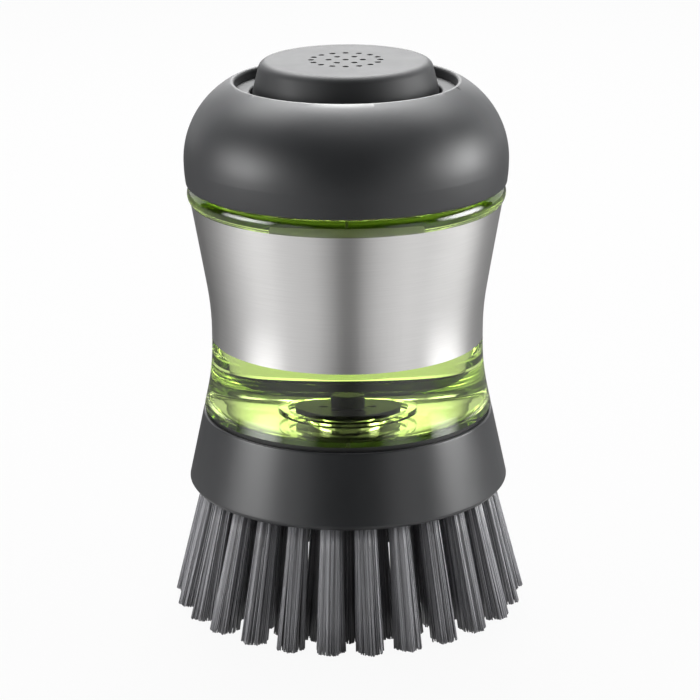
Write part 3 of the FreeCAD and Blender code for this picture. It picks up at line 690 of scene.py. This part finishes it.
soft_box("soft_box_left", -74, 9.8, 0.7, 0.62, 0.37, 12.5)
soft_box("soft_box_right", 89, 9.8, 0.7, 0.6, 0.37, 18)
soft_box("front_fill_left", -40, 6, 1.0, 0.64, 0.45, 1.3)
soft_box("front_fill_right", 42, 6, 1.0, 0.64, 0.45, 1.3)
soft_box("overhead_panel", 180, 57, 0.7, 0.5, 0.6, 28.0)
soft_box("overhead_wing_left", -128, 56, 0.7, 0.4, 0.4, 10.0)
soft_box("overhead_wing_right", 128, 56, 0.7, 0.4, 0.4, 8.0)
soft_box("back_panel", 180, 16, 0.7, 0.8, 0.4, 2.8)

# %% [markdown]
# ## Cards seen only in reflections and through the tank
# Polished pieces mirror the whole room. A fan of greys that glows on the floor paints the reflections that
# give the steel its upright stripes, and a black felt curtain behind the camera keeps the dark pieces
# dark.
# Neither lights the brush nor shows in the picture. A narrow strip that glows a dim grey stands close
# behind the seam of the steel band and is seen only through the clear tank: painted shade where light
# would leak through and draw bright ticks in the soap.

# %% Fan of painted reflections on the floor


def only_in_reflections(card, material):
    """Gives a card its finish and hides it from all but glossy rays."""
    card.data.materials.append(material)
    card.visible_camera = False
    card.visible_diffuse = False
    card.visible_transmission = False
    card.visible_shadow = False


# Painted reflection: a card on the floor that glows in greys set by azimuth and is seen only by
# reflections, so the steel mirrors upright stripes of light and dark.
material, tree, output = new_material("painted_reflection_fan")
place = add_node(tree, "ShaderNodeTexCoord")
quarter_turn = (0, 0, math.pi / 2)
turned = add_node(
    tree, "ShaderNodeMapping", {"Vector": place.outputs["Object"], "Rotation": quarter_turn}
)
fan = add_node(tree, "ShaderNodeTexGradient", {"Vector": turned.outputs["Vector"]}, gradient_type="RADIAL")


def greys_around(greys):
    """A ramp of greys that are given by azimuth."""
    ramp = add_node(tree, "ShaderNodeValToRGB", {"Fac": fan.outputs["Fac"]})
    stops = ramp.color_ramp.elements
    while len(stops) < len(greys):
        stops.new(0.5)
    for stop, (azimuth, grey) in zip(stops, greys):
        stop.position = 0.5 + azimuth / 360
        stop.color = (grey, grey, grey, 1)
    return ramp.outputs["Color"]


painted_reflection_greys = [
    (-180, 0.12), (-140, 0.14), (-118, 0.34), (-102, 0.54), (-84, 0.54), (-54, 0.86),
    (-24, 0.78), (-11, 0.48), (-4, 0.25), (6, 0.25), (12, 0.52), (24, 0.80),
    (48, 1.0), (66, 0.92), (84, 0.48), (110, 0.56), (128, 0.32), (180, 0.10),
]
glow = add_node(tree, "ShaderNodeEmission", {"Color": greys_around(painted_reflection_greys), "Strength": 1.08})
tree.links.new(glow.outputs["Emission"], output.inputs["Surface"])
fan_size = 1.3
fan_z = 0.2 * MM
fan_card = flat_card("painted_reflection_fan_card", [(x * fan_size, y * fan_size, fan_z) for x, y in square])
only_in_reflections(fan_card, material)
print("grey fan:", len(painted_reflection_greys), "greys")

# %% Black felt curtain
material, tree, output = new_material("black_felt")
place = add_node(tree, "ShaderNodeTexCoord")
felt = add_node(tree, "ShaderNodeTexNoise", {"Vector": place.outputs["Object"], "Scale": 1 / (20 * MM)})
colour = add_node(
    tree,
    "ShaderNodeMix",
    {"Factor": felt.outputs["Fac"], "A": to_linear("#0a0a0a"), "B": to_linear("#161616")},
    data_type="RGBA",
)
skin = add_node(tree, "ShaderNodeBsdfDiffuse", {"Color": colour.outputs["Result"]})
tree.links.new(skin.outputs["BSDF"], output.inputs["Surface"])
curtain_radius, curtain_height, curtain_half_angle, curtain_steps = 1.2, 2.4, 125, 24
points, faces = [], []
for step in range(curtain_steps + 1):
    turn = math.radians(curtain_half_angle * (2 * step / curtain_steps - 1))
    for height in (0.0, curtain_height):
        points.append((curtain_radius * math.sin(turn), -curtain_radius * math.cos(turn), height))
    if step:
        at = 2 * step
        faces.append((at - 2, at, at + 1, at - 1))
mesh = bpy.data.meshes.new("dark_room_behind_camera")
mesh.from_pydata(points, [], faces)
curtain = bpy.data.objects.new("dark_room_behind_camera", mesh)
bpy.context.scene.collection.objects.link(curtain)
only_in_reflections(curtain, material)
print("felt curtain:", len(faces), "faces")

# %% Painted shade behind the seam
material, tree, output = new_material("painted_shade_card")
# Painted shade: a strip that glows a dim grey, seen only through the clear tank, darkens the slit of the
# seam where light from behind would show.
dim = add_node(tree, "ShaderNodeEmission", {"Color": (1, 1, 1, 1), "Strength": 0.05})
tree.links.new(dim.outputs["Emission"], output.inputs["Surface"])
strip_half_width, strip_gap = 1.2, 0.25
sleeve = nodes["steel_sleeve"]
seam_line = {}
for vertex in sleeve.data.vertices:
    spot = sleeve.matrix_world @ vertex.co / MM
    if abs(spot.x) < strip_half_width and spot.y > 0:
        level = round(spot.z, 1)
        seam_line[level] = max(seam_line.get(level, 0), spot.y + strip_gap)
seam_line = sorted(seam_line.items())
points, faces = [], []
for z, y in seam_line:
    points += [(x * MM, y * MM, z * MM) for x in (-strip_half_width, strip_half_width)]
for at in range(0, len(points) - 2, 2):
    faces.append((at, at + 1, at + 3, at + 2))
mesh = bpy.data.meshes.new("painted_shade_behind_seam")
mesh.from_pydata(points, [], faces)
strip = bpy.data.objects.new("painted_shade_behind_seam", mesh)
bpy.context.scene.collection.objects.link(strip)
only_in_reflections(strip, material)
strip.visible_glossy = False
strip.visible_transmission = True
print("painted shade behind the seam:", len(faces), "faces")
